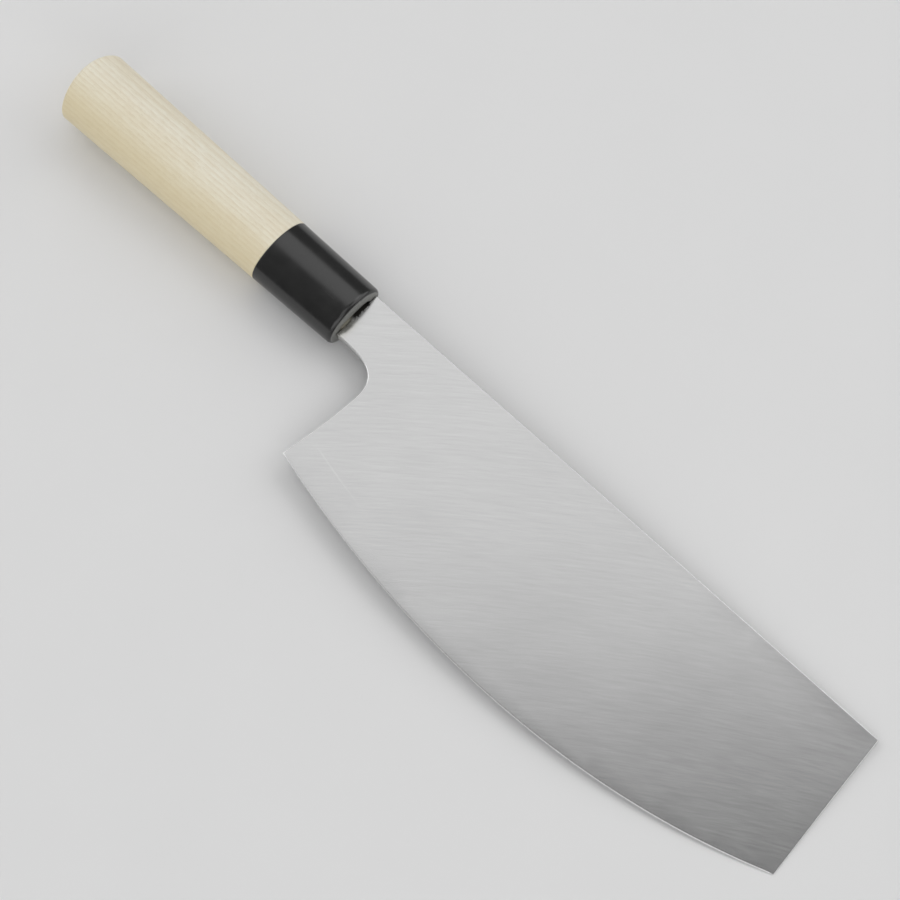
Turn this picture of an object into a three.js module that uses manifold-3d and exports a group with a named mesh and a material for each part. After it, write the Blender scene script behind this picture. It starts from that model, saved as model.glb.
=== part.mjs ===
// Sushi knife: a wide curved blade with a hidden tang, in an oval wooden handle with a black ferrule.
// Sizes are millimetres. In the knife's own frame the handle's axis is X, from the butt at x = 0 to
// the tip, +Y runs from the edge to the spine, and +Z out of the blade's upper face.
// The finished group lies on its side on the floor, z = 0, as a knife put down on a table does.

import * as THREE from 'three';
import { mergeVertices } from 'three/addons/utils/BufferGeometryUtils.js';
import Module from 'manifold-3d';

// Handle and ferrule
const handleLength = 101.5; // wood that shows, from the butt to the ferrule
const ferruleLength = 39;
const buttHeight = 31.5; // oval section at the butt
const buttThickness = 25;
const mouthHeight = 27; // oval section at the ferrule's front
const mouthThickness = 21.2;
const buttEasing = 2.1; // radius of the eased edge of the butt
const buttCrown = 2.4; // the butt's face bulges this far, across its height
const rimRadius = 1.6; // radius of the ferrule's front rim
const ferruleWall = 2.6;
const ferruleFrontWall = 6;

// Blade outline
const spineRise = 11.3; // spine above the handle's axis, at the neck
const neckHeight = 21.2;
const neckLength = 18.2; // ferrule to heel
const bladeLength = 233.8; // heel to lower tip corner
const heelHeight = 68.2; // spine level to heel
const tipDrop = 63.6; // spine level to lower tip corner
const tipHeight = 62.6; // along the cut-off end
const tipLean = THREE.MathUtils.degToRad(5.1); // the cut-off end leans back from the lower corner
const edgeRadius = 389;
const edgeLean = 0.32; // the edge's arc leans towards the tip by this share of its depth
const spineCrown = 0.26; // rise of the spine's gentle curve over its chord
const choilReach = 4.1; // hollow behind the heel, forward of the heel's corner
const choilDrop = 11.7; // neck's underside to the foremost point of the hollow
const choilRun = 11.7; // straight start of the hollow along the neck
const heelRun = 11.3; // straight start of the hollow towards the heel

// Blade thickness
const neckThickness = 3.8; // spine at the neck
const tipThickness = 2.2; // spine at the tip
const bellyThickness = 0.6; // flat face carried to the edge, at the belly
const bevelAngle = THREE.MathUtils.degToRad(4); // one side of the edge bevel
const edgeThickness = 0.2;

// Tang and what holds it
const tangLength = 92;
const tangHeight = 12; // at the neck
const tangEndHeight = 7;
const tangThickness = 2.8;
const fillerWall = 1.8; // filler between the tang and the sides of its slot
const sealRecess = 0.7; // seal's face behind the ferrule's front
const fitGap = 0.3; // between neighbouring pieces

// Mesh fineness
const ovalSides = 48;
const roundSteps = 4;
const curveSteps = 12;
const edgeSides = 256;

const alongX = new THREE.Vector3(1, 0, 0);
const alongY = new THREE.Vector3(0, 1, 0);
const alongZ = new THREE.Vector3(0, 0, 1);

// Places along the handle's axis
const ferruleBack = handleLength + fitGap;
const ferruleFront = handleLength + ferruleLength;
const socketEnd = ferruleFront - ferruleFrontWall;
const neckBack = ferruleFront + fitGap;
const tangEnd = ferruleFront - tangLength;

// Oval and slot sizes that fit into each other
const socketHeight = mouthHeight - 2 * ferruleWall;
const socketThickness = mouthThickness - 2 * ferruleWall;
const slotHeight = tangHeight + 2 * (fillerWall + 2 * fitGap);
const slotThickness = tangThickness + 2 * (fillerWall + 2 * fitGap);
const boreEnd = tangEnd - fillerWall - 2 * fitGap;

// Corners of the blade
const heel = new THREE.Vector2(neckBack + neckLength, spineRise - heelHeight);
const tipLower = new THREE.Vector2(heel.x + bladeLength, spineRise - tipDrop);
const tipRise = new THREE.Vector2(-Math.sin(tipLean), Math.cos(tipLean));
const tipUpper = tipLower.clone().addScaledVector(tipRise, tipHeight);
const edgeCentre = arcCentre(leaning(heel, -edgeLean), leaning(tipLower, -edgeLean), edgeRadius);
const belly = leaning(new THREE.Vector2(edgeCentre.x, edgeCentre.y - edgeRadius), edgeLean);

// The flat faces thin evenly from the neck to the tip and from the spine to the edge
const distalTaper = (neckThickness - tipThickness) / 2 / (tipUpper.x - neckBack);
const bellyHalf = neckThickness / 2 - distalTaper * (belly.x - neckBack);
const grindTaper = (bellyHalf - bellyThickness / 2) / (spineRise - belly.y);

const wasm = await Module();
wasm.setup();

// A point of the blade's plane, shifted along X by a share of its depth
function leaning(point, share) {
  return new THREE.Vector2(point.x - share * point.y, point.y);
}

// Centre of the arc of a given radius that bulges downwards from one point to the other
function arcCentre(from, to, radius) {
  const chord = to.clone().sub(from);
  const height = Math.sqrt(radius ** 2 - chord.lengthSq() / 4);
  const across = new THREE.Vector2(-chord.y, chord.x).setLength(height);
  return from.clone().add(to).multiplyScalar(0.5).add(across);
}

// Half the blade's thickness between its flat faces
function halfThickness(point) {
  return neckThickness / 2 - distalTaper * (point.x - neckBack) - grindTaper * (spineRise - point.y);
}

// Half height and half thickness of the tapered oval that handle and ferrule share
function ovalAt(x) {
  const share = x / ferruleFront;
  return {
    x,
    halfHeight: THREE.MathUtils.lerp(buttHeight, mouthHeight, share) / 2,
    halfThickness: THREE.MathUtils.lerp(buttThickness, mouthThickness, share) / 2,
  };
}

// The oval at x, drawn in by a margin
function insetOval(x, margin) {
  const oval = ovalAt(x);
  return { x, halfHeight: oval.halfHeight - margin, halfThickness: oval.halfThickness - margin };
}

// Ovals that round an end off, from its flat face to the full section; inward is +1 or -1 along X
function roundedEnd(end, inward, radius) {
  const ovals = [];
  for (let step = 0; step <= roundSteps; step += 1) {
    const angle = (Math.PI / 2) * (step / roundSteps);
    const x = end + inward * radius * (1 - Math.cos(angle));
    ovals.push(insetOval(x, radius * (1 - Math.sin(angle))));
  }
  return ovals;
}

// Closed body through a row of ovals, in order of increasing x; a crown bends an oval forward at its ends
function ovalBody(ovals) {
  const corners = [];
  const faces = [];
  for (const { x, halfHeight, halfThickness, crown = 0 } of ovals) {
    const oval = new THREE.EllipseCurve(0, 0, halfHeight, halfThickness);
    for (const { x: y, y: z } of oval.getPoints(ovalSides).slice(0, -1)) {
      corners.push(x + crown * (2 * y / buttHeight) ** 2, y, z);
    }
  }
  const last = (ovals.length - 1) * ovalSides;
  const backCentre = last + ovalSides;
  const frontCentre = backCentre + 1;
  corners.push(ovals[0].x, 0, 0, ovals[ovals.length - 1].x, 0, 0);
  for (let side = 0; side < ovalSides; side += 1) {
    const next = (side + 1) % ovalSides;
    for (let ring = 0; ring < last; ring += ovalSides) {
      const [a, b, c, d] = [ring + side, ring + next, ring + ovalSides + side, ring + ovalSides + next];
      faces.push(a, b, d, a, d, c);
    }
    faces.push(backCentre, next, side);
    faces.push(frontCentre, last + side, last + next);
  }
  const geometry = new THREE.BufferGeometry();
  geometry.setAttribute('position', new THREE.Float32BufferAttribute(corners, 3));
  geometry.setIndex(faces);
  return solid(geometry);
}

// Straight oval bar along X
function ovalBar(from, to, height, thickness) {
  const section = { halfHeight: height / 2, halfThickness: thickness / 2 };
  return ovalBody([{ x: from, ...section }, { x: to, ...section }]);
}

// Straight bar along X with round-ended section, drawn in by a margin
function slotBar(from, to, margin) {
  const radius = slotThickness / 2 - margin;
  const reach = slotHeight / 2 - slotThickness / 2;
  const shape = new THREE.Shape();
  shape.absarc(reach, 0, radius, -Math.PI / 2, Math.PI / 2);
  shape.absarc(-reach, 0, radius, Math.PI / 2, Math.PI * 1.5);
  const standing = new THREE.Matrix4().makeBasis(alongY, alongZ, alongX);
  return solid(extrusion(shape, to - from).applyMatrix4(standing).translate(from, 0, 0));
}

// Plate with a flat outline in the blade's plane
function plate(shape, thickness) {
  return solid(extrusion(shape, thickness).translate(0, 0, -thickness / 2));
}

function extrusion(shape, depth) {
  return new THREE.ExtrudeGeometry(shape, { depth, bevelEnabled: false, curveSegments: curveSteps });
}

// Closed solid from a geometry: shared corners are merged and faces without area are left out
function solid(geometry) {
  const bare = new THREE.BufferGeometry();
  bare.setAttribute('position', geometry.getAttribute('position'));
  bare.setIndex(geometry.getIndex());
  const merged = mergeVertices(bare);
  const corners = merged.getIndex().array;
  const faces = [];
  for (let at = 0; at < corners.length; at += 3) {
    const face = [corners[at], corners[at + 1], corners[at + 2]];
    if (new Set(face).size === 3) {
      faces.push(...face);
    }
  }
  return new wasm.Manifold(new wasm.Mesh({
    numProp: 3,
    vertProperties: new Float32Array(merged.getAttribute('position').array),
    triVerts: new Uint32Array(faces),
  }));
}

// Tapered tang, grown on all sides by a margin; it starts inside the neck
function tangBar(margin) {
  const start = neckBack + neckLength / 2;
  const shape = new THREE.Shape();
  shape.moveTo(start, tangHeight / 2 + margin);
  shape.lineTo(neckBack, tangHeight / 2 + margin);
  shape.lineTo(tangEnd - margin, tangEndHeight / 2 + margin);
  shape.lineTo(tangEnd - margin, -tangEndHeight / 2 - margin);
  shape.lineTo(neckBack, -tangHeight / 2 - margin);
  shape.lineTo(start, -tangHeight / 2 - margin);
  return plate(shape, tangThickness + 2 * margin);
}

// Outline of neck and blade; it runs on below the edge, where the bevels trim it
function bladeOutline() {
  const neckBottom = spineRise - neckHeight;
  const choil = new THREE.Vector2(heel.x + choilReach, neckBottom - choilDrop);
  const heelBend = new THREE.Vector2(choil.x, choil.y - heelRun);
  const below = belly.y - heelHeight;
  const heelSlope = (heel.x - heelBend.x) / (heel.y - heelBend.y);
  const shape = new THREE.Shape();
  shape.moveTo(neckBack, neckBottom);
  shape.bezierCurveTo(neckBack + choilRun, neckBottom, choil.x, neckBottom, choil.x, choil.y);
  shape.quadraticCurveTo(heelBend.x, heelBend.y, heel.x, heel.y);
  shape.lineTo(heel.x + heelSlope * (below - heel.y), below);
  shape.lineTo(tipLower.x + Math.tan(tipLean) * (tipLower.y - below), below);
  shape.lineTo(tipUpper.x, tipUpper.y);
  shape.quadraticCurveTo(
    (tipUpper.x + neckBack) / 2,
    (tipUpper.y + spineRise) / 2 + 2 * spineCrown,
    neckBack,
    spineRise,
  );
  return shape;
}

// Leaning double cone about the centre of the edge's arc: its rim is the edge, its slopes are the bevels
function bevelBody() {
  const peak = edgeThickness / 2 + edgeRadius * Math.tan(bevelAngle);
  const profile = [
    new THREE.Vector2(0, -peak),
    new THREE.Vector2(edgeRadius, -edgeThickness / 2),
    new THREE.Vector2(edgeRadius, edgeThickness / 2),
    new THREE.Vector2(0, peak),
  ];
  const cone = new THREE.LatheGeometry(profile, edgeSides).rotateX(Math.PI / 2);
  const lean = new THREE.Matrix4().makeShear(0, 0, -edgeLean, 0, 0, 0);
  return solid(cone.translate(edgeCentre.x, edgeCentre.y, 0).applyMatrix4(lean));
}

// Block that takes away what lies outside one flat face; side is +1 or -1 along Z
function faceCutter(side) {
  const size = 4 * bladeLength;
  const outward = new THREE.Vector3(distalTaper, -grindTaper, side).normalize();
  const turn = new THREE.Quaternion().setFromUnitVectors(alongZ, outward);
  const block = new THREE.BoxGeometry(size, size, size).translate(0, 0, size / 2);
  return solid(block.applyQuaternion(turn).translate(neckBack, spineRise, side * neckThickness / 2));
}

function bladeSolid() {
  const flat = plate(bladeOutline(), 2 * neckThickness).intersect(bevelBody());
  return flat.subtract(faceCutter(1)).subtract(faceCutter(-1)).add(tangBar(0));
}

function ferruleSolid() {
  const shell = ovalBody([ovalAt(ferruleBack), ...roundedEnd(ferruleFront, -1, rimRadius).reverse()]);
  const socket = ovalBar(handleLength, socketEnd, socketHeight, socketThickness);
  return shell.subtract(socket).subtract(slotBar(socketEnd - fitGap, ferruleFront + fitGap, 0));
}

// Ovals of the butt: its crowned face and its eased edge
function crownedButt() {
  const edge = roundedEnd(0, 1, buttEasing);
  const { x, halfHeight, halfThickness } = edge[0];
  const middle = { x, halfHeight: halfHeight / 2, halfThickness: halfThickness / 2 };
  return [middle, ...edge].map((oval) => ({ ...oval, crown: buttCrown }));
}

function handleSolid() {
  const grip = ovalBody([...crownedButt(), ovalAt(handleLength)]);
  const tenonEnd = socketEnd - fitGap;
  const tenonStart = handleLength / 2;
  const tenon = ovalBar(tenonStart, tenonEnd, socketHeight - 2 * fitGap, socketThickness - 2 * fitGap);
  return grip.add(tenon).subtract(slotBar(boreEnd, tenonEnd + fitGap, 0));
}

function resinSolid() {
  return slotBar(boreEnd + fitGap, socketEnd - fitGap, fitGap).subtract(tangBar(fitGap));
}

function sealSolid() {
  return slotBar(socketEnd, ferruleFront - sealRecess, fitGap).subtract(tangBar(fitGap));
}

// Named mesh of a finished solid
function piece(name, body, look) {
  const { vertProperties, triVerts } = body.getMesh();
  const geometry = new THREE.BufferGeometry();
  geometry.setAttribute('position', new THREE.Float32BufferAttribute(vertProperties, 3));
  geometry.setIndex(new THREE.Uint32BufferAttribute(triVerts, 1));
  geometry.computeVertexNormals();
  const mesh = new THREE.Mesh(geometry, new THREE.MeshStandardMaterial({ flatShading: true, ...look }));
  mesh.name = name;
  return mesh;
}

// Turn that sets the knife down: it rests on the ferrule's front and on both corners of the tip
function restingTurn() {
  const ferruleSeat = ovalAt(ferruleFront - rimRadius);
  const supports = [
    new THREE.Vector3(ferruleSeat.x, 0, -ferruleSeat.halfThickness),
    new THREE.Vector3(tipLower.x, tipLower.y, -edgeThickness / 2),
    new THREE.Vector3(tipUpper.x, tipUpper.y, -halfThickness(tipUpper)),
  ];
  const floor = new THREE.Plane().setFromCoplanarPoints(...supports);
  return new THREE.Quaternion().setFromUnitVectors(floor.normal, alongZ);
}

const knife = new THREE.Group();
knife.add(
  piece('blade', bladeSolid(), { color: 0xb9bab8, roughness: 0.38, metalness: 1 }),
  piece('ferrule', ferruleSolid(), { color: 0x17181a, roughness: 0.22, metalness: 0 }),
  piece('handle', handleSolid(), { color: 0xdccfa8, roughness: 0.62, metalness: 0 }),
  piece('tang_resin', resinSolid(), { color: 0x6b5a3a, roughness: 0.5, metalness: 0 }),
  piece('mouth_seal', sealSolid(), { color: 0x1d1a17, roughness: 0.85, metalness: 0 }),
);
knife.quaternion.copy(restingTurn());

// The origin is on the floor, under the middle of the knife's box
const box = new THREE.Box3().setFromObject(knife, true);
const middle = box.getCenter(new THREE.Vector3());
knife.position.set(-middle.x, -middle.y, -box.min.z);

const part = new THREE.Group();
part.add(knife);

export default part;
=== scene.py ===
import math

import bpy
from mathutils import Matrix, Vector, geometry, noise


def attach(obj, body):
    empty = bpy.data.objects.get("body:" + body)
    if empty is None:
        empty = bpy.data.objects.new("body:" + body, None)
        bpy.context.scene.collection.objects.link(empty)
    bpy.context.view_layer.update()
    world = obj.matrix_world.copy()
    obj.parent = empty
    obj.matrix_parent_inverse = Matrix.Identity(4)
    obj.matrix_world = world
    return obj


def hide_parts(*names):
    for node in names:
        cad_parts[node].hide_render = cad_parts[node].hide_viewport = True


# Looks of the sushi knife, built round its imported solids.
# Sizes are millimetres in the knife's own frame: the handle's axis is X, from the butt at x = 0 to the
# tip, +Y runs from the edge to the spine, and +Z out of the blade's upper face.

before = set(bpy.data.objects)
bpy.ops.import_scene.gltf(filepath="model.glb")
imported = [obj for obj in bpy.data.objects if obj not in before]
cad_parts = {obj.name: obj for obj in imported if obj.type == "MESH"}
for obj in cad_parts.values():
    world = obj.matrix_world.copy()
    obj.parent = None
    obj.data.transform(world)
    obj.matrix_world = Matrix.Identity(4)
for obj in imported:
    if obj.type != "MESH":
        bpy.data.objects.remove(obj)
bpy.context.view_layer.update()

MM = 0.001  # scene units in a millimetre

# Handle and ferrule
handle_length = 101.5
ferrule_length = 39.0
butt_height = 31.5
butt_thickness = 25.0
mouth_height = 27.0
mouth_thickness = 21.2
butt_easing = 2.1
butt_crown = 2.4  # bulge of the butt's face across its height
rim_radius = 1.6
ferrule_wall = 2.6
ferrule_front_wall = 6.0
joint_gap = 0.06  # hairline between wood, ferrule and filler
chamfer_depth = 0.12  # of the small chamfers where wood and ferrule meet
wood_chamfer_run = 0.2
ferrule_chamfer_run = 0.15

# Blade outline
spine_rise = 11.3
neck_height = 21.2
neck_length = 18.2
blade_length = 233.8
heel_height = 68.2
tip_drop = 63.6
tip_height = 62.6
tip_lean = math.radians(5.1)
edge_radius = 389.0
edge_lean = 0.32
spine_crown = 0.26
choil_reach = 4.1
choil_drop = 11.7
choil_run = 11.7
heel_run = 11.3

# Blade thickness
neck_thickness = 3.8
tip_thickness = 2.2
edge_thickness = 0.2
ground_thickness = 0.34  # left above the narrow sharpened band
sharpened_width = 0.35
face_swell = 0.26  # convex grind of each face, at the heel
easing = 0.34  # radius of the eased edges of spine, heel and tip
hidden_easing = 0.05  # radius of the edges of tang and shoulder

# Tang and its slot
tang_length = 92.0
tang_height = 12.0
tang_end_height = 7.0
tang_thickness = 2.8
slot_height = 16.8
slot_thickness = 7.6
slot_mouth = ((0.0, -0.25), (0.1, -0.05))  # depth and inset of its softened front edge
slot_mouth_depth = 0.3
seal_recess = 0.7
fit_gap = 0.3
bore_spare = 2.4  # bore left free past the tang's end

# Places along the handle's axis
ferrule_front = handle_length + ferrule_length
socket_end = ferrule_front - ferrule_front_wall
neck_back = ferrule_front + fit_gap
tang_end = ferrule_front - tang_length
bore_end = tang_end - bore_spare

# Mesh fineness
oval_sides = 120
round_steps = 6
lattice_step = 5.0
choil_steps = 26
heel_steps = 16
edge_steps = 120
tip_steps = 24
spine_steps = 90
tang_steps = 24
short_steps = 4
grip_steps = 12
shoulder_steps = 14
shoulder_run = 0.02  # half the run of the step from tang to neck
corner_share = 0.002  # of the tang's length, from its corner to the next outline point
flat_start = 1.7  # where a face's flat begins, in widths of its eased edge
crisp_margin = 0.2  # from a chamfer to the ring that keeps its shading crisp


def lerp(start, end, share):
    return start + (end - start) * share


# Corners of the blade
heel = Vector((neck_back + neck_length, spine_rise - heel_height))
tip_lower = Vector((heel.x + blade_length, spine_rise - tip_drop))
tip_upper = tip_lower + tip_height * Vector((-math.sin(tip_lean), math.cos(tip_lean)))
neck_top = Vector((neck_back, spine_rise))
neck_bottom = Vector((neck_back, spine_rise - neck_height))


def leaning(point, share):
    """A point of the blade's plane, shifted along X by a share of its depth."""
    return Vector((point.x - share * point.y, point.y))


def arc_centre(start, end, radius):
    """Centre of the arc that bulges downwards from start to end."""
    chord = end - start
    height = math.sqrt(radius ** 2 - chord.length_squared / 4)
    return (start + end) / 2 + height * Vector((-chord.y, chord.x)).normalized()


upright_heel = leaning(heel, -edge_lean)
upright_tip = leaning(tip_lower, -edge_lean)
edge_centre = arc_centre(upright_heel, upright_tip, edge_radius)


def edge_level(x):
    """The cutting edge's y at x, held level behind the heel."""
    run = min(max(x, heel.x), tip_lower.x) - edge_centre.x
    a = 1 + edge_lean ** 2
    b = edge_lean * run - edge_centre.y
    c = run ** 2 + edge_centre.y ** 2 - edge_radius ** 2
    return (-b - math.sqrt(b ** 2 - a * c)) / a


def face_half(x, y):
    """Half the thickness: a faint swell from spine to edge, thinning towards the tip; the tang is even."""
    if x < neck_back:
        return tang_thickness / 2
    along = (x - neck_back) / (tip_upper.x - neck_back)
    spine_half = lerp(neck_thickness, tip_thickness, along) / 2
    depth = min(max((spine_rise - y) / (spine_rise - edge_level(x)), 0), 1)
    swell = 4 * face_swell * (1 - along) * depth * (1 - depth)
    return lerp(spine_half, ground_thickness / 2, depth) + swell


def bezier(points, steps):
    """Points along a Bezier curve, without its last one."""
    found = []
    for step in range(steps):
        row = list(points)
        while len(row) > 1:
            row = [a.lerp(b, step / steps) for a, b in zip(row, row[1:])]
        found.append(row[0])
    return found


def edge_arc(steps):
    """Points along the cutting edge from heel to tip, without the last one."""
    first = (upright_heel - edge_centre).angle_signed(Vector((1, 0)))
    last = (upright_tip - edge_centre).angle_signed(Vector((1, 0)))
    found = []
    for step in range(steps):
        angle = lerp(first, last, step / steps)
        spot = edge_centre + edge_radius * Vector((math.cos(angle), math.sin(angle)))
        found.append(leaning(spot, edge_lean))
    return found


def blade_outline():
    """Outline of tang, neck and blade against the clock, with a mark where it is the cutting edge."""
    choil = Vector((heel.x + choil_reach, neck_bottom.y - choil_drop))
    under_neck = Vector((neck_back + choil_run, neck_bottom.y))
    into_choil = Vector((choil.x, neck_bottom.y))
    heel_bend = Vector((choil.x, choil.y - heel_run))
    crown = (tip_upper + neck_top) / 2 + Vector((0, 2 * spine_crown))
    tang_lower = Vector((neck_back, -tang_height / 2))
    tang_upper = Vector((neck_back, tang_height / 2))
    end_lower = Vector((tang_end, -tang_end_height / 2))
    end_upper = Vector((tang_end, tang_end_height / 2))
    past_upper = tang_upper.lerp(end_upper, corner_share)
    past_lower = tang_lower.lerp(end_lower, corner_share)
    stretches = [
        (bezier([neck_bottom, under_neck, into_choil, choil], choil_steps), False),
        (bezier([choil, heel_bend, heel], heel_steps), False),
        (edge_arc(edge_steps), True),
        (bezier([tip_lower, tip_upper], tip_steps), False),
        (bezier([tip_upper, crown, neck_top], spine_steps), False),
        (bezier([neck_top, tang_upper], short_steps), False),
        ([tang_upper], False),
        (bezier([past_upper, end_upper], tang_steps), False),
        (bezier([end_upper, end_lower], short_steps), False),
        (bezier([end_lower, past_lower], tang_steps), False),
        ([past_lower], False),
        (bezier([tang_lower, neck_bottom], short_steps), False),
    ]
    return [(point, sharp) for points, sharp in stretches for point in points]


def inward_steps(points):
    """For each corner of a closed outline, the move that draws both its sides in by one."""
    moves = []
    for before, here, after in zip(points[-1:] + points, points, points[1:] + points[:1]):
        first = (here - before).normalized().orthogonal()
        second = (after - here).normalized().orthogonal()
        moves.append((first + second) / (1 + first.dot(second)))
    return moves


def edge_profile(point, sharp):
    """(inset, height) from the middle of the blade's side up to its face, at one outline point."""
    half = face_half(point.x, point.y)
    profile = []
    for step in range(round_steps + 1):
        turn = math.pi / 2 * step / round_steps
        if sharp:
            share = step / round_steps
            profile.append((sharpened_width * share, lerp(edge_thickness / 2, half, share)))
        else:
            radius = min(easing, half / 2) if point.x > neck_back else hidden_easing
            profile.append((radius * (1 - math.cos(turn)), half - radius * (1 - math.sin(turn))))
    return profile


def inside_lattice(ring):
    """Even points well inside a closed ring."""
    low_x, high_x = min(p.x for p in ring), max(p.x for p in ring)
    low_y, high_y = min(p.y for p in ring), max(p.y for p in ring)
    found = []
    for row in range(int((high_y - low_y) / lattice_step) + 1):
        shift = lattice_step / 2 * (row % 2)
        for column in range(int((high_x - low_x) / lattice_step) + 1):
            spot = Vector((low_x + shift + column * lattice_step, low_y + row * lattice_step))
            if min((spot - p).length for p in ring) > lattice_step / 2:
                found.append(spot)
    return found


def blade_mesh():
    """Corners and faces of blade, neck and tang as one closed skin, alike on both sides."""
    outline = blade_outline()
    moves = inward_steps([point for point, sharp in outline])
    profiles = [edge_profile(point, sharp) for point, sharp in outline]
    count = len(outline)
    upper = []
    for step in range(round_steps + 1):
        for (point, sharp), move, profile in zip(outline, moves, profiles):
            inset, height = profile[step]
            spot = point + move * inset
            upper.append((spot.x, spot.y, height))
    inner = [point + move * flat_start * profile[-1][0]
             for (point, sharp), move, profile in zip(outline, moves, profiles)]
    shoulder_half = tang_height / 2 - 4 * hidden_easing
    shares = [step / shoulder_steps for step in range(shoulder_steps + 1)]
    levels = [lerp(-shoulder_half, shoulder_half, share) for share in shares]
    shoulder = [Vector((neck_back + side * shoulder_run, level)) for side in (-1, 1) for level in levels]
    spots = inner + inside_lattice(inner + shoulder) + shoulder
    rim = list(range(count))
    inside_only = 1
    nearness = 1e-6
    joined = geometry.delaunay_2d_cdt(spots, [], [rim], inside_only, nearness)
    flat_faces, origin = joined[2], joined[3]
    first_flat = len(upper)
    upper += [(spot.x, spot.y, face_half(spot.x, spot.y)) for spot in spots]
    upper_faces = []
    for ring in range(round_steps + 1):
        for side in range(count):
            follow = (side + 1) % count
            a, b = ring * count + side, ring * count + follow
            upper_faces.append((a, b, b + count, a + count))
    for face in flat_faces:
        upper_faces.append(tuple(first_flat + origin[corner][0] for corner in face))
    total = len(upper)
    corners = upper + [(x, y, -z) for x, y, z in upper]
    faces = list(upper_faces)
    faces += [tuple(total + corner for corner in reversed(face)) for face in upper_faces]
    for side in range(count):
        follow = (side + 1) % count
        faces.append((follow, side, total + side, total + follow))
    return corners, faces


def oval(x, inset=0.0):
    """Ring of the tapered oval that handle and ferrule share, drawn in by an inset."""
    share = x / ferrule_front
    half_height = lerp(butt_height, mouth_height, share) / 2 - inset
    half_thickness = lerp(butt_thickness, mouth_thickness, share) / 2 - inset
    return ring_points(x, half_height, half_thickness)


def ring_points(x, half_height, half_thickness, reach=0.0):
    """Oval ring across the handle's axis; reach pulls its two halves apart into a slot."""
    ring = []
    for side in range(oval_sides):
        angle = 2 * math.pi * (side + 0.5) / oval_sides
        apart = math.copysign(reach, math.cos(angle))
        ring.append((x, apart + half_height * math.cos(angle), half_thickness * math.sin(angle)))
    return ring


def slot_ring(x, inset=0.0):
    """Ring of the round-ended slot for the tang."""
    radius = slot_thickness / 2 - inset
    return ring_points(x, radius, radius, (slot_height - slot_thickness) / 2)


def shrunk(ring, share):
    """A flat ring drawn towards the handle's axis."""
    return [(x, y * share, z * share) for x, y, z in ring]


def crowned(ring):
    """A ring of the butt, bent forward at the ends of its height."""
    return [(x + butt_crown * (2 * y / butt_height) ** 2, y, z) for x, y, z in ring]


def rounded(end, inward, radius):
    """Rings round the edge of an end, from its flat face to the full oval."""
    rings = []
    for step in range(round_steps + 1):
        turn = math.pi / 2 * step / round_steps
        x = end + inward * radius * (1 - math.cos(turn))
        rings.append(oval(x, radius * (1 - math.sin(turn))))
    return rings


def straight(make, start, end, steps, *sizes):
    """Rings at even steps from start to end."""
    return [make(lerp(start, end, step / steps), *sizes) for step in range(steps + 1)]


def loft(rings, closed):
    """Skin through rings of equal counts; closed joins last to first, else both ends are filled."""
    count = len(rings[0])
    corners = [corner for ring in rings for corner in ring]
    faces = []
    for index in range(len(rings) if closed else len(rings) - 1):
        here = index * count
        there = (index + 1) % len(rings) * count
        for side in range(count):
            follow = (side + 1) % count
            faces.append((here + side, here + follow, there + follow, there + side))
    if not closed:
        for ring, turned in ((0, True), (len(rings) - 1, False)):
            middle = sum((Vector(corner) for corner in rings[ring]), Vector((0, 0, 0))) / count
            corners.append(tuple(middle))
            for side in range(count):
                pair = (ring * count + side, ring * count + (side + 1) % count)
                faces.append((len(corners) - 1, *(reversed(pair) if turned else pair)))
    return corners, faces


def handle_mesh():
    """Eased butt, oval grip, tenon and the blind bore for the tang."""
    front = handle_length
    socket_half = mouth_height / 2 - ferrule_wall - fit_gap
    socket_half_thickness = mouth_thickness / 2 - ferrule_wall - fit_gap
    tenon_end = socket_end - fit_gap
    grip_start = butt_easing + butt_crown + 1.5  # clear of the crowned butt
    grip_end = front - wood_chamfer_run
    butt = rounded(0, 1, butt_easing)
    rings = [crowned(shrunk(butt[0], share)) for share in (0.25, 0.5, 0.75, 0.93)]
    rings += [crowned(ring) for ring in butt]
    rings += straight(oval, grip_start, grip_end - crisp_margin, grip_steps)
    rings += [oval(grip_end), oval(front, chamfer_depth), oval(front, 2 * crisp_margin)]
    rings += straight(ring_points, front, tenon_end, 4, socket_half, socket_half_thickness)
    rings += straight(slot_ring, tenon_end, bore_end, 6)
    return loft(rings, False)


def ferrule_mesh():
    """Tapered collar with a rounded front rim, a slot for the tang and a socket for the tenon."""
    back = handle_length + joint_gap
    back_rim = 0.5
    side_start = back + ferrule_chamfer_run
    side_end = ferrule_front - rim_radius
    socket_half = mouth_height / 2 - ferrule_wall
    socket_half_thickness = mouth_thickness / 2 - ferrule_wall
    rim = rounded(ferrule_front, -1, rim_radius)
    rings = [oval(back, back_rim), oval(back, chamfer_depth), oval(side_start)]
    rings += straight(oval, side_start + crisp_margin, side_end - 2 * crisp_margin, 10)
    rings += list(reversed(rim))
    rings += [shrunk(rim[0], share) for share in (0.97, 0.85, 0.72)]
    rings += [slot_ring(ferrule_front - depth, inset) for depth, inset in slot_mouth]
    rings += straight(slot_ring, ferrule_front - slot_mouth_depth, socket_end, 3)
    rings += straight(ring_points, socket_end, back + back_rim, 4, socket_half, socket_half_thickness)
    return loft(rings, True)


def tang_ring(x, margin):
    """Four-sided ring round the tang near the mouth, with a margin and as many points as an oval has."""
    half_height = tang_height / 2 + margin
    half_thickness = tang_thickness / 2 + margin
    ring = []
    for side in range(oval_sides):
        angle = 2 * math.pi * (side + 0.5) / oval_sides
        stretch = max(abs(math.cos(angle)), abs(math.sin(angle)))
        y = half_height * math.cos(angle) / stretch
        ring.append((x, y, half_thickness * math.sin(angle) / stretch))
    return ring


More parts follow.
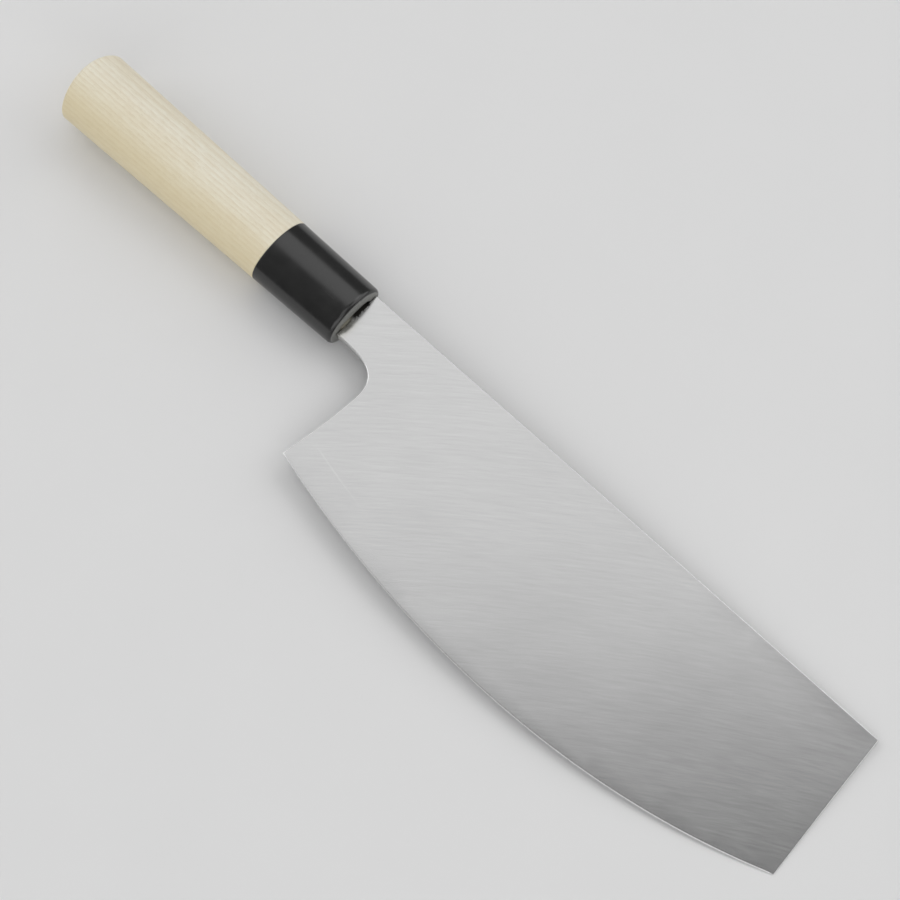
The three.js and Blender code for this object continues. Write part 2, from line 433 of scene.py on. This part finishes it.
def seal_mesh():
    """Uneven filler round the tang, sunk in the upper part of the slot and full in the lower part."""
    face = ferrule_front - seal_recess
    full_below, sunk_above = -3.0, 1.0
    fullness = 1.3  # of the recess, where the filler is full
    lump_height = 0.15
    lump_scale = 0.9
    lip_depth = 0.4  # from the sunk face to the first ring along the tang
    outer = slot_ring(face, joint_gap)
    inner = tang_ring(face, joint_gap)
    rings = [slot_ring(socket_end, joint_gap), slot_ring(lerp(socket_end, face, 0.5), joint_gap)]
    for share in (0.0, 0.15, 0.4, 0.7, 1.0):
        ring = []
        for (_, outer_y, outer_z), (_, inner_y, inner_z) in zip(outer, inner):
            y, z = lerp(outer_y, inner_y, share), lerp(outer_z, inner_z, share)
            fill = min(max((sunk_above - y) / (sunk_above - full_below), 0), 1)
            rough = noise.noise(Vector((y * lump_scale, z * lump_scale, 3.0)))
            swell = math.sin(math.pi / 2 * lerp(0.3, 1.0, share))
            rise = fullness * seal_recess * fill + lump_height * rough
            ring.append((face + rise * swell, y, z))
        rings.append(ring)
    rings += straight(tang_ring, face - lip_depth, socket_end, 2, joint_gap)
    return loft(rings, True)


def knife_place():
    """Where the knife's own frame lies: turned to rest on ferrule and tip, its butt at the CAD handle's."""
    seat_x = ferrule_front - rim_radius
    seat_half = lerp(butt_thickness, mouth_thickness, seat_x / ferrule_front) / 2
    tip_half = face_half(*tip_upper)
    corners = [(seat_x, 0, -seat_half), (*tip_lower, -edge_thickness / 2), (*tip_upper, -tip_half)]
    seat, lower, higher = (Vector(corner) for corner in corners)
    normal = (lower - seat).cross(higher - seat).normalized()
    turn = normal.rotation_difference(Vector((0, 0, 1))).to_matrix()
    back = [turn.transposed() @ corner.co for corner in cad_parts["handle"].data.vertices]
    low = [min(spot[axis] for spot in back) for axis in range(3)]
    high = [max(spot[axis] for spot in back) for axis in range(3)]
    butt = Vector((low[0], (low[1] + high[1]) / 2, (low[2] + high[2]) / 2))
    return Matrix.Translation(turn @ butt) @ turn.to_4x4()


place = knife_place()


def piece(name, mesh_data, material, node, sharp_degrees):
    """A finished piece of the knife that stands for a CAD node."""
    corners, faces = mesh_data
    mesh = bpy.data.meshes.new(name)
    mesh.from_pydata([Vector(corner) * MM for corner in corners], [], faces)
    mesh.validate()
    mesh.shade_smooth()
    mesh.set_sharp_from_angle(angle=math.radians(sharp_degrees))
    mesh.materials.append(material)
    made = bpy.data.objects.new(name, mesh)
    bpy.context.scene.collection.objects.link(made)
    made.matrix_world = place
    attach(made, "root")
    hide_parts(node)


def add(tree, kind, inputs=(), **settings):
    """New node; each input is a number, a colour or another node's output."""
    made = tree.nodes.new("ShaderNode" + kind)
    for name, value in settings.items():
        setattr(made, name, value)
    for name, value in dict(inputs).items():
        if isinstance(value, bpy.types.NodeSocket):
            tree.links.new(value, made.inputs[name])
        else:
            made.inputs[name].default_value = value
    return made


def calc(tree, operation, *values):
    """Result of a sum on numbers or outputs."""
    return add(tree, "Math", enumerate(values), operation=operation).outputs[0]


def ramp(tree, value, low, high, start=0.0, end=1.0, smooth=True):
    """A value's stretch from low to high, mapped to start and end and held beyond them."""
    kind = "SMOOTHSTEP" if smooth else "LINEAR"
    inputs = {"Value": value, "From Min": low, "From Max": high, "To Min": start, "To Max": end}
    return add(tree, "MapRange", inputs, interpolation_type=kind).outputs[0]


def blended(tree, factor, first, second):
    """Colour between two others."""
    return add(tree, "Mix", {0: factor, 6: first, 7: second}, data_type="RGBA").outputs[2]


def grey(value):
    """A neutral colour."""
    return (value, value, value, 1)


def speckle(tree, vector, scale, detail=2.0, roughness=0.5):
    """Soft noise from 0 to 1."""
    inputs = {"Vector": vector, "Scale": scale, "Detail": detail, "Roughness": roughness}
    return add(tree, "TexNoise", inputs).outputs[0]


def stretched(tree, vector, along, across=1.0):
    """Coordinates scaled less along the handle than across it, which draws noise out along the grain."""
    return add(tree, "Mapping", {"Vector": vector, "Scale": (along, across, across)}).outputs[0]


def start_material(name):
    """Empty material with a shader, and the place on the piece in millimetres."""
    material = bpy.data.materials.new(name)
    material.use_nodes = True
    tree = material.node_tree
    tree.nodes.clear()
    shader = add(tree, "BsdfPrincipled")
    add(tree, "OutputMaterial", {"Surface": shader.outputs[0]})
    spot = add(tree, "TexCoord").outputs["Object"]
    in_mm = add(tree, "VectorMath", {0: spot, "Scale": 1 / MM}, operation="SCALE").outputs[0]
    return material, tree, shader, in_mm


def feed(tree, shader, **sockets):
    """Sets or links the shader's inputs; a name's underscores stand for spaces."""
    for name, value in sockets.items():
        socket = shader.inputs[name.replace("_", " ")]
        if isinstance(value, bpy.types.NodeSocket):
            tree.links.new(value, socket)
        else:
            socket.default_value = value


def bump(tree, height, depth_mm, **under):
    """Surface normal for a height from 0 to 1 and its depth, over another normal where one is given."""
    inputs = {"Height": height, "Distance": depth_mm * MM, "Strength": 1.0, **under}
    return add(tree, "Bump", inputs).outputs[0]


def steel():
    """Satin steel with fine hairlines along wide arcs, as a swinging stone leaves them."""
    material, tree, shader, spot = start_material("satin_steel")
    swing_centre = (717.0, -651.0, 0.0)
    swing_radius = 770.0
    hair_sizes = ((0.42, 11.0), (1.3, 28.0))  # width and length of the fine and the broad hairlines
    fine_share, broad_share, cloud_share = 0.6, 0.4, 0.25
    wave_depth = 0.08
    hair_depth = 0.004
    dull_steel, bright_steel = grey(0.518), grey(0.603)
    ground_steel = grey(0.70)
    # brighter steel of the eased edges: partly real rubbing, partly a painted highlight
    edge_wear_and_highlight_steel = grey(0.86)
    # darker, warmer grey of the neck's lower part near the ferrule
    neck_grey_colour = (0.50, 0.49, 0.43, 1)
    dark_stain = (0.016, 0.015, 0.013, 1)
    arm = add(tree, "VectorMath", {0: spot, 1: swing_centre}, operation="SUBTRACT").outputs[0]
    parts = add(tree, "SeparateXYZ", {0: arm})
    reach = add(tree, "VectorMath", {0: arm}, operation="LENGTH").outputs["Value"]
    turn = calc(tree, "ARCTAN2", parts.outputs["Y"], parts.outputs["X"])
    arc = calc(tree, "MULTIPLY", turn, swing_radius)
    streaks = []
    for width, length in hair_sizes:
        across = calc(tree, "DIVIDE", reach, width)
        along = calc(tree, "DIVIDE", arc, length)
        vector = add(tree, "CombineXYZ", {"X": across, "Y": along}).outputs[0]
        streaks.append(speckle(tree, vector, 1.0, 3.0, 0.6))
    fine, broad = (calc(tree, "MULTIPLY", streak, share)
                   for streak, share in zip(streaks, (fine_share, broad_share)))
    lines = calc(tree, "ADD", fine, broad)
    clouds = speckle(tree, spot, 0.028, 1.5, 0.5)
    place_parts = add(tree, "SeparateXYZ", {0: spot})
    x, y = place_parts.outputs["X"], place_parts.outputs["Y"]
    facing = add(tree, "SeparateXYZ", {0: add(tree, "TexCoord").outputs["Normal"]}).outputs["Z"]
    facing = calc(tree, "ABSOLUTE", facing)
    # The eased edges, which lean between a side and a face of the blade, are painted brighter: partly real
    # rubbing, partly a painted highlight
    edge_wear_and_highlight = calc(tree, "MULTIPLY", ramp(tree, facing, 0.1, 0.4), ramp(tree, facing, 0.998, 0.98))
    shade = calc(tree, "ADD", lines, calc(tree, "MULTIPLY", clouds, cloud_share))
    colour = blended(tree, ramp(tree, shade, 0.4, 0.85, smooth=False), dull_steel, bright_steel)
    colour = blended(tree, first_grind(tree, x, y), colour, ground_steel)
    colour = blended(tree, edge_wear_and_highlight, colour, edge_wear_and_highlight_steel)
    stain, neck_greying = mouth_marks(tree, spot, x, y)
    colour = blended(tree, neck_greying, colour, neck_grey_colour)
    colour = blended(tree, stain, colour, dark_stain)
    roughness = ramp(tree, lines, 0.25, 0.75, 0.17, 0.205, False)
    roughness = calc(tree, "ADD", roughness, calc(tree, "MULTIPLY", edge_wear_and_highlight, 0.12))
    roughness = calc(tree, "ADD", roughness, calc(tree, "MULTIPLY", stain, 0.3))
    metal = calc(tree, "SUBTRACT", 1.0, stain)
    hairs = bump(tree, lines, hair_depth, Normal=bump(tree, clouds, wave_depth))
    feed(tree, shader, Base_Color=colour, Roughness=roughness, Metallic=metal, Normal=hairs)
    shader.inputs["Specular IOR Level"].default_value = 0.1
    return material


def first_grind(tree, x, y):
    """How strongly a faint line shows along the edge near the heel, left by the first grinding."""
    strength = 0.2
    line_inset = 12.8
    half_width = (0.1, 0.45)
    fade_in = (heel.x + 5, heel.x + 11)
    fade_out = (heel.x + 15, heel.x + 50)
    upright = calc(tree, "ADD", x, calc(tree, "MULTIPLY", y, edge_lean))
    run = calc(tree, "SUBTRACT", upright, edge_centre.x)
    rise = calc(tree, "SUBTRACT", y, edge_centre.y)
    squares = [calc(tree, "POWER", side, 2.0) for side in (run, rise)]
    reach = calc(tree, "SQRT", calc(tree, "ADD", *squares))
    inset = calc(tree, "SUBTRACT", edge_radius - line_inset, reach)
    line = ramp(tree, calc(tree, "ABSOLUTE", inset), *half_width, 1.0, 0.0)
    seen = calc(tree, "MULTIPLY", ramp(tree, x, *fade_in), ramp(tree, x, *fade_out, 1.0, 0.0))
    return calc(tree, "MULTIPLY", calc(tree, "MULTIPLY", line, seen), strength)


def mouth_marks(tree, spot, x, y):
    """Where dark filler is smeared on the neck at the slot, and where the neck's lower part turns a darker,
    warmer grey towards the ferrule.
    """
    raggedness = 4.5
    stain_reach = (neck_back + 0.6, neck_back + 1.0)
    greying_reach = (neck_back, neck_back + 5.0)
    stain_bottom, stain_top = (-3.0, 0.0), (6.5, 9.0)
    greying_top = (-4.0, 2.0)
    ragged = calc(tree, "SUBTRACT", speckle(tree, spot, 0.9, 5.0, 0.7), 0.5)
    shore = calc(tree, "SUBTRACT", x, calc(tree, "MULTIPLY", ragged, raggedness))
    near = ramp(tree, shore, *stain_reach, 1.0, 0.0)
    upper = calc(tree, "MULTIPLY", ramp(tree, y, *stain_bottom), ramp(tree, y, *stain_top, 1.0, 0.0))
    neck_greying = ramp(tree, x, *greying_reach, 0.6, 0.0)
    lower = ramp(tree, y, *greying_top, 1.0, 0.0)
    return calc(tree, "MULTIPLY", near, upper), calc(tree, "MULTIPLY", neck_greying, lower)


def wood():
    """Bare pale wood: straight fine growth lines, fibres and tiny pores along the handle."""
    material, tree, shader, spot = start_material("pale_wood")
    pith = (0.0, -96.0, -38.0)
    ring_width = 1.79
    sway_size = 2.2
    wobble_size = 0.5
    grain_depth = 0.035
    pale_early, warm_early = (0.89, 0.85, 0.72, 1), (0.86, 0.80, 0.65, 1)
    late_colour = (0.66, 0.56, 0.38, 1)
    mottle_colour = (0.74, 0.64, 0.47, 1)
    fibre_colour = (0.72, 0.63, 0.45, 1)
    pore_colour = (0.46, 0.36, 0.21, 1)
    # yellower, darker tone of the side away from the light: partly the wood's own tint, partly painted
    # shade
    tint_and_painted_shade = (0.74, 0.615, 0.34, 1)
    end_colour = (0.68, 0.55, 0.34, 1)
    slow = stretched(tree, spot, 0.006, 0.05)
    sway = add(tree, "TexNoise", {"Vector": slow, "Scale": 1.0, "Detail": 2.0}).outputs["Color"]
    sway = add(tree, "VectorMath", {0: sway, "Scale": sway_size}, operation="SCALE").outputs[0]
    bent = add(tree, "VectorMath", {0: spot, 1: sway}, operation="ADD").outputs[0]
    flat = add(tree, "VectorMath", {0: bent, 1: (0.0, 1.0, 1.0)}, operation="MULTIPLY").outputs[0]
    reach = add(tree, "VectorMath", {0: flat, 1: pith}, operation="DISTANCE").outputs["Value"]
    wobble = speckle(tree, calc(tree, "MULTIPLY", reach, 0.35), 1.0, 2.0)
    wobble = calc(tree, "MULTIPLY", wobble, wobble_size)
    ring = calc(tree, "FRACT", calc(tree, "ADD", calc(tree, "DIVIDE", reach, ring_width), wobble))
    late = calc(tree, "MULTIPLY", ramp(tree, ring, 0.2, 0.8), ramp(tree, ring, 0.85, 1.0, 1.0, 0.0))
    fibre = speckle(tree, stretched(tree, spot, 0.08), 3.4, 4.0, 0.65)
    pores = ramp(tree, speckle(tree, stretched(tree, spot, 0.14), 5.5, 1.0), 0.62, 0.74)
    tone = speckle(tree, stretched(tree, spot, 0.02, 0.1), 1.0)
    mottle = ramp(tree, speckle(tree, stretched(tree, spot, 0.35), 0.5, 4.0, 0.65), 0.4, 0.65, 0.0, 0.22)
    parts = add(tree, "SeparateXYZ", {0: spot})
    x, y = parts.outputs["X"], parts.outputs["Y"]
    colour = blended(tree, ramp(tree, tone, 0.35, 0.65), pale_early, warm_early)
    colour = blended(tree, mottle, colour, mottle_colour)
    grain = calc(tree, "MULTIPLY", late, ramp(tree, fibre, 0.3, 0.65, 0.06, 0.42))
    colour = blended(tree, grain, colour, late_colour)
    colour = blended(tree, ramp(tree, fibre, 0.4, 0.75, 0.0, 0.28), colour, fibre_colour)
    colour = blended(tree, calc(tree, "MULTIPLY", pores, 0.3), colour, pore_colour)
    # Darker and yellower towards -y: partly the wood's own tint, partly painted shade on the side that
    # faces away from the light
    colour = blended(tree, ramp(tree, y, 4.0, -15.0, 0.0, 0.55), colour, tint_and_painted_shade)
    bulge = calc(tree, "POWER", calc(tree, "MULTIPLY", y, 2 / butt_height), 2.0)
    end = calc(tree, "SUBTRACT", x, calc(tree, "MULTIPLY", bulge, butt_crown))
    colour = blended(tree, ramp(tree, end, 0.25, 0.0, 0.0, 0.4), colour, end_colour)
    height = calc(tree, "SUBTRACT", calc(tree, "MULTIPLY", fibre, 0.6), calc(tree, "MULTIPLY", pores, 0.5))
    height = calc(tree, "ADD", height, calc(tree, "MULTIPLY", late, 0.2))
    roughness = ramp(tree, fibre, 0.3, 0.7, 0.52, 0.64, False)
    feed(tree, shader, Base_Color=colour, Roughness=roughness, Normal=bump(tree, height, grain_depth))
    return material


def black_plastic():
    """Polished black collar with fine handling scratches and a duller sanded front."""
    material, tree, shader, spot = start_material("black_plastic")
    scratch_turn, scratch_stretch = (0.2, 0.5, 0.9), (0.1, 2.2, 2.2)
    sanding_stretch = (1.0, 0.12, 4.0)
    scratch_depth = 0.003
    deep_black, soft_black = (0.005, 0.005, 0.005, 1), (0.010, 0.010, 0.0095, 1)
    sanded_dark, sanded_pale = (0.08, 0.08, 0.076, 1), (0.32, 0.32, 0.30, 1)
    turned = add(tree, "Mapping", {"Vector": spot, "Rotation": scratch_turn, "Scale": scratch_stretch})
    scratch = ramp(tree, speckle(tree, turned.outputs[0], 1.2, 5.0, 0.7), 0.58, 0.74)
    patches = speckle(tree, spot, 0.16, 3.0, 0.55)
    x = add(tree, "SeparateXYZ", {0: spot}).outputs["X"]
    front = ramp(tree, x, ferrule_front - 0.25, ferrule_front - 0.05)
    swept = add(tree, "Mapping", {"Vector": spot, "Scale": sanding_stretch}).outputs[0]
    sanding = speckle(tree, swept, 2.0, 3.0)
    dark = blended(tree, patches, deep_black, soft_black)
    dull = blended(tree, ramp(tree, sanding, 0.3, 0.7), sanded_dark, sanded_pale)
    colour = blended(tree, front, dark, dull)
    roughness = ramp(tree, patches, 0.3, 0.7, 0.18, 0.24, False)
    roughness = calc(tree, "ADD", roughness, calc(tree, "MULTIPLY", scratch, 0.09))
    roughness = calc(tree, "ADD", roughness, calc(tree, "MULTIPLY", front, 0.22))
    feed(tree, shader, Base_Color=colour, Roughness=roughness, Normal=bump(tree, scratch, scratch_depth))
    shader.inputs["IOR"].default_value = 1.66
    return material


def sealant():
    """Dull filler, greyer where it is wiped flush in the slot's lower part; the near black of its sunk
    upper part is painted shade.
    """
    material, tree, shader, spot = start_material("sealant")
    lump_depth = 0.12
    raggedness = 2.5
    sunk_shade_colours = (0.008, 0.007, 0.006, 1), (0.022, 0.02, 0.017, 1)
    wiped_colours = (0.13, 0.125, 0.105, 1), (0.27, 0.26, 0.21, 1)
    y = add(tree, "SeparateXYZ", {0: spot}).outputs["Y"]
    lumps = speckle(tree, spot, 1.4, 4.0, 0.65)
    wiped = ramp(tree, calc(tree, "ADD", y, calc(tree, "MULTIPLY", lumps, raggedness)), 2.0, -2.5)
    # near-black painted shade where the filler is sunk in the slot's upper part
    dark = blended(tree, lumps, *sunk_shade_colours)
    pale = blended(tree, lumps, *wiped_colours)
    colour = blended(tree, wiped, dark, pale)
    roughness = ramp(tree, lumps, 0.3, 0.7, 0.6, 0.85, False)
    feed(tree, shader, Base_Color=colour, Roughness=roughness, Normal=bump(tree, lumps, lump_depth))
    shader.inputs["Specular IOR Level"].default_value = 0.15
    return material


def resin():
    """Cured brown filler with small bubbles."""
    material, tree, shader, spot = start_material("resin")
    bubble_depth = 0.05
    dark_brown, light_brown = (0.22, 0.14, 0.055, 1), (0.34, 0.24, 0.11, 1)
    cloud = speckle(tree, spot, 0.4, 3.0)
    bubbles = ramp(tree, speckle(tree, spot, 2.5, 1.0), 0.62, 0.7)
    colour = blended(tree, cloud, dark_brown, light_brown)
    roughness = ramp(tree, bubbles, 0.0, 1.0, 0.35, 0.6, False)
    feed(tree, shader, Base_Color=colour, Roughness=roughness, Normal=bump(tree, bubbles, bubble_depth))
    return material


def floor_material():
    """Plain pale matt floor."""
    material, tree, shader, spot = start_material("pale_floor")
    tint = speckle(tree, spot, 0.02, 3.0)
    feed(tree, shader, Base_Color=blended(tree, tint, grey(0.78), grey(0.80)), Roughness=0.9)
    return material


piece("blade", blade_mesh(), steel(), "blade", 30)
piece("ferrule", ferrule_mesh(), black_plastic(), "ferrule", 50)
piece("handle", handle_mesh(), wood(), "handle", 50)
piece("mouth_seal", seal_mesh(), sealant(), "mouth_seal", 60)
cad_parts["tang_resin"].data.materials.clear()
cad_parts["tang_resin"].data.materials.append(resin())

# Camera at the photograph's angle: level, with a long lens
camera_azimuth = math.radians(-46.591)
camera_elevation = math.radians(65.275)
camera_distance = 1457.88
camera_target = Vector((3.169, 17.300, 0.0))
camera_side = Vector((math.cos(camera_azimuth), math.sin(camera_azimuth), 0))
to_camera = camera_side * math.cos(camera_elevation) + Vector((0, 0, math.sin(camera_elevation)))
camera_data = bpy.data.cameras.new("camera")
camera_data.lens = 160
camera_data.sensor_width = 36
camera = bpy.data.objects.new("camera", camera_data)
camera.location = (camera_target + to_camera * camera_distance) * MM
camera.rotation_euler = (-to_camera).to_track_quat("-Z", "Y").to_euler()
bpy.context.scene.collection.objects.link(camera)
bpy.context.scene.camera = camera

# Directions as the camera sees them, along the floor
away = -camera_side
right = Vector((away.y, -away.x, 0))


def softbox(name, across, beyond, up, distance, width, depth, radiance):
    """Large rectangular lamp, in metres, in a direction as the camera sees it and facing the knife."""
    data = bpy.data.lights.new(name, "AREA")
    data.shape = "RECTANGLE"
    data.size = width
    data.size_y = depth
    data.energy = radiance * math.pi * width * depth
    lamp = bpy.data.objects.new(name, data)
    direction = (right * across + away * beyond + Vector((0, 0, up))).normalized()
    lamp.location = direction * distance
    lamp.rotation_euler = (-direction).to_track_quat("-Z", "Y").to_euler()
    bpy.context.scene.collection.objects.link(lamp)


softbox("overhead_softbox", across=-0.0614, beyond=0.4992, up=0.8643,
        distance=4.0, width=5.5, depth=2.415, radiance=0.905)
softbox("top_softbox", across=0.0, beyond=-0.30, up=0.95,
        distance=3.0, width=1.8, depth=1.66, radiance=0.85)
softbox("side_softbox", across=0.778, beyond=0.188, up=0.60,
        distance=2.0, width=2.3, depth=2.1, radiance=0.98)
softbox("front_softbox", across=-0.05, beyond=-0.88, up=0.47,
        distance=2.2, width=3.2, depth=1.8, radiance=0.95)
softbox("left_softbox", across=-0.83, beyond=0.28, up=0.485,
        distance=2.0, width=1.6, depth=1.6, radiance=1.35)
softbox("far_softbox", across=-0.188, beyond=0.921, up=0.342,
        distance=3.0, width=1.6, depth=1.0, radiance=1.2)

# Studio surround: dim, a little brighter overhead
world = bpy.data.worlds.new("studio")
bpy.context.scene.world = world
world.use_nodes = True
sky = world.node_tree
sky.nodes.clear()
heading = add(sky, "TexCoord").outputs["Generated"]
height = add(sky, "SeparateXYZ", {0: heading}).outputs["Z"]
surround = blended(sky, ramp(sky, height, 0.0, 1.0, smooth=False), grey(0.19), grey(0.22))
background = add(sky, "Background", {"Color": surround, "Strength": 1.0})
add(sky, "OutputWorld", {"Surface": background.outputs[0]})

# Floor, in metres
floor_half = 3.0
floor_mesh = bpy.data.meshes.new("floor")
floor_corners = [(-floor_half, -floor_half, 0), (floor_half, -floor_half, 0),
                 (floor_half, floor_half, 0), (-floor_half, floor_half, 0)]
floor_mesh.from_pydata(floor_corners, [], [(0, 1, 2, 3)])
floor_mesh.materials.append(floor_material())
floor = bpy.data.objects.new("floor", floor_mesh)
bpy.context.scene.collection.objects.link(floor)

bpy.context.scene.view_settings.view_transform = "Standard"
